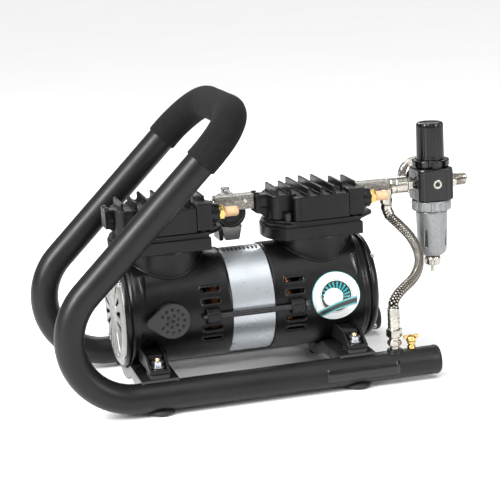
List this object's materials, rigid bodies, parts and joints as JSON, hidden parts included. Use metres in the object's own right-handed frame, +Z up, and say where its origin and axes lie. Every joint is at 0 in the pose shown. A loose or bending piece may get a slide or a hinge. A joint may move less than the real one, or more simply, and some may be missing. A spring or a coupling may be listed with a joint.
{
  "type": "air compressor",
  "caption": "Portable twin-piston air compressor: finned heads on a drum motor, carried in a bent tube frame that is skid, handle and tank, with hose, filter regulator and gauge.",
  "frame": {"origin": "on the floor under the middle of the object's bounding box", "axes": "+Z up; +X along the motor shaft towards the filter regulator; -Y is the front, with the hose on it"},
  "size_m": [0.4389, 0.2014, 0.2867],
  "materials": {
    "black_coat": "satin",
    "cast_black": "satin",
    "foam": "matt foam",
    "rubber": "matt",
    "zinc": "zinc plated",
    "silver_band": "satin silver",
    "steel": "machined",
    "copper": "enamelled wire",
    "brass": "machined",
    "nickel": "nickel plated",
    "cast_zinc": "as cast",
    "aluminium": "cast",
    "grey_metal": "satin grey",
    "braid": "woven wire",
    "gloss_black": "gloss",
    "dark_plastic": "matt",
    "clear_bowl": "clear",
    "red_paint": "satin"
  },
  "bodies": {
    "frame": {"air_hose": "braid", "bowl": "clear_bowl", "bowl_guard": "grey_metal", "cone_foot_1": "rubber", "cone_foot_2": "rubber", "cone_foot_3": "rubber", "cone_foot_4": "rubber", "cross_manifold": "cast_zinc", "drain_valve": "brass", "far_side_tube": "black_coat", "filter_cover": "dark_plastic", "foam_grip": "foam", "gauge_case": "nickel", "handle_bend": "black_coat", "hose_fitting": "nickel", "left_bearing": "steel", "left_cylinder_sleeve": "aluminium", "left_end_shell": "cast_black", "left_grille": "aluminium", "left_head_cover": "cast_black", "left_rail": "zinc", "left_silencer": "brass", "left_valve_plate": "cast_black", "mount_stud_1": "zinc", "mount_stud_2": "zinc", "mount_stud_3": "zinc", "mount_stud_4": "zinc", "near_side_tube": "black_coat", "outlet_fitting": "nickel", "outlet_manifold": "cast_zinc", "pressure_switch": "dark_plastic", "reg_body": "gloss_black", "right_bearing": "steel", "right_cylinder_sleeve": "aluminium", "right_end_cap": "cast_black", "right_end_shell": "cast_black", "right_head_cover": "cast_black", "right_rail": "zinc", "right_silencer": "brass", "right_valve_plate": "cast_black", "rubber_mount_1": "rubber", "rubber_mount_2": "rubber", "rubber_mount_3": "rubber", "rubber_mount_4": "rubber", "stator_band": "silver_band", "stator_core": "steel", "stator_windings": "copper", "swivel_union": "nickel", "tie_rod": "steel"},
    "crank": {"crankshaft": "steel", "rotor": "steel", "left_fan": "dark_plastic", "right_fan": "dark_plastic"},
    "left_piston_body": {"left_piston": "aluminium"},
    "right_piston_body": {"right_piston": "aluminium"},
    "adjuster": {"reg_screw": "steel"},
    "knob": {"reg_knob": "gloss_black"},
    "pointer": {"gauge_pointer": "red_paint"},
    "tank_drain": {"drain_knob": "brass"},
    "bowl_tap": {"bowl_drain": "nickel"}
  },
  "joints": [
    {"name": "crank_spin", "type": "hinge", "parent": "frame", "child": "crank", "pos_m": [-0.022, 0, 0.079], "axis": [1, 0, 0], "continuous": true},
    {"name": "left_piston_stroke", "type": "slide", "parent": "frame", "child": "left_piston_body", "axis": [0, 0, 1], "range_m": [-0.006, 0.006]},
    {"name": "right_piston_stroke", "type": "slide", "parent": "frame", "child": "right_piston_body", "axis": [0, 0, 1], "range_m": [-0.006, 0.006]},
    {"name": "pressure_adjust", "type": "hinge", "parent": "frame", "child": "adjuster", "pos_m": [0.1822, 0, 0.1995], "axis": [0, 0, 1], "range_deg": [-720, 720]},
    {"name": "knob_lift", "type": "slide", "parent": "adjuster", "child": "knob", "axis": [0, 0, 1], "range_m": [0, 0.003]},
    {"name": "gauge_reading", "type": "hinge", "parent": "frame", "child": "pointer", "pos_m": [0.1822, 0.037, 0.1755], "axis": [0, -1, 0], "range_deg": [0, 270], "stiffness_Nm_per_rad": 0.0005, "springref_deg": -17.19},
    {"name": "tank_drain_turn", "type": "hinge", "parent": "frame", "child": "tank_drain", "pos_m": [0.124, -0.0845, 0.0386], "axis": [0, 0, 1], "range_deg": [0, 360]},
    {"name": "bowl_drain_turn", "type": "hinge", "parent": "frame", "child": "bowl_tap", "pos_m": [0.1822, 0, 0.0888], "axis": [0, 0, 1], "range_deg": [0, 90]}
  ]
}
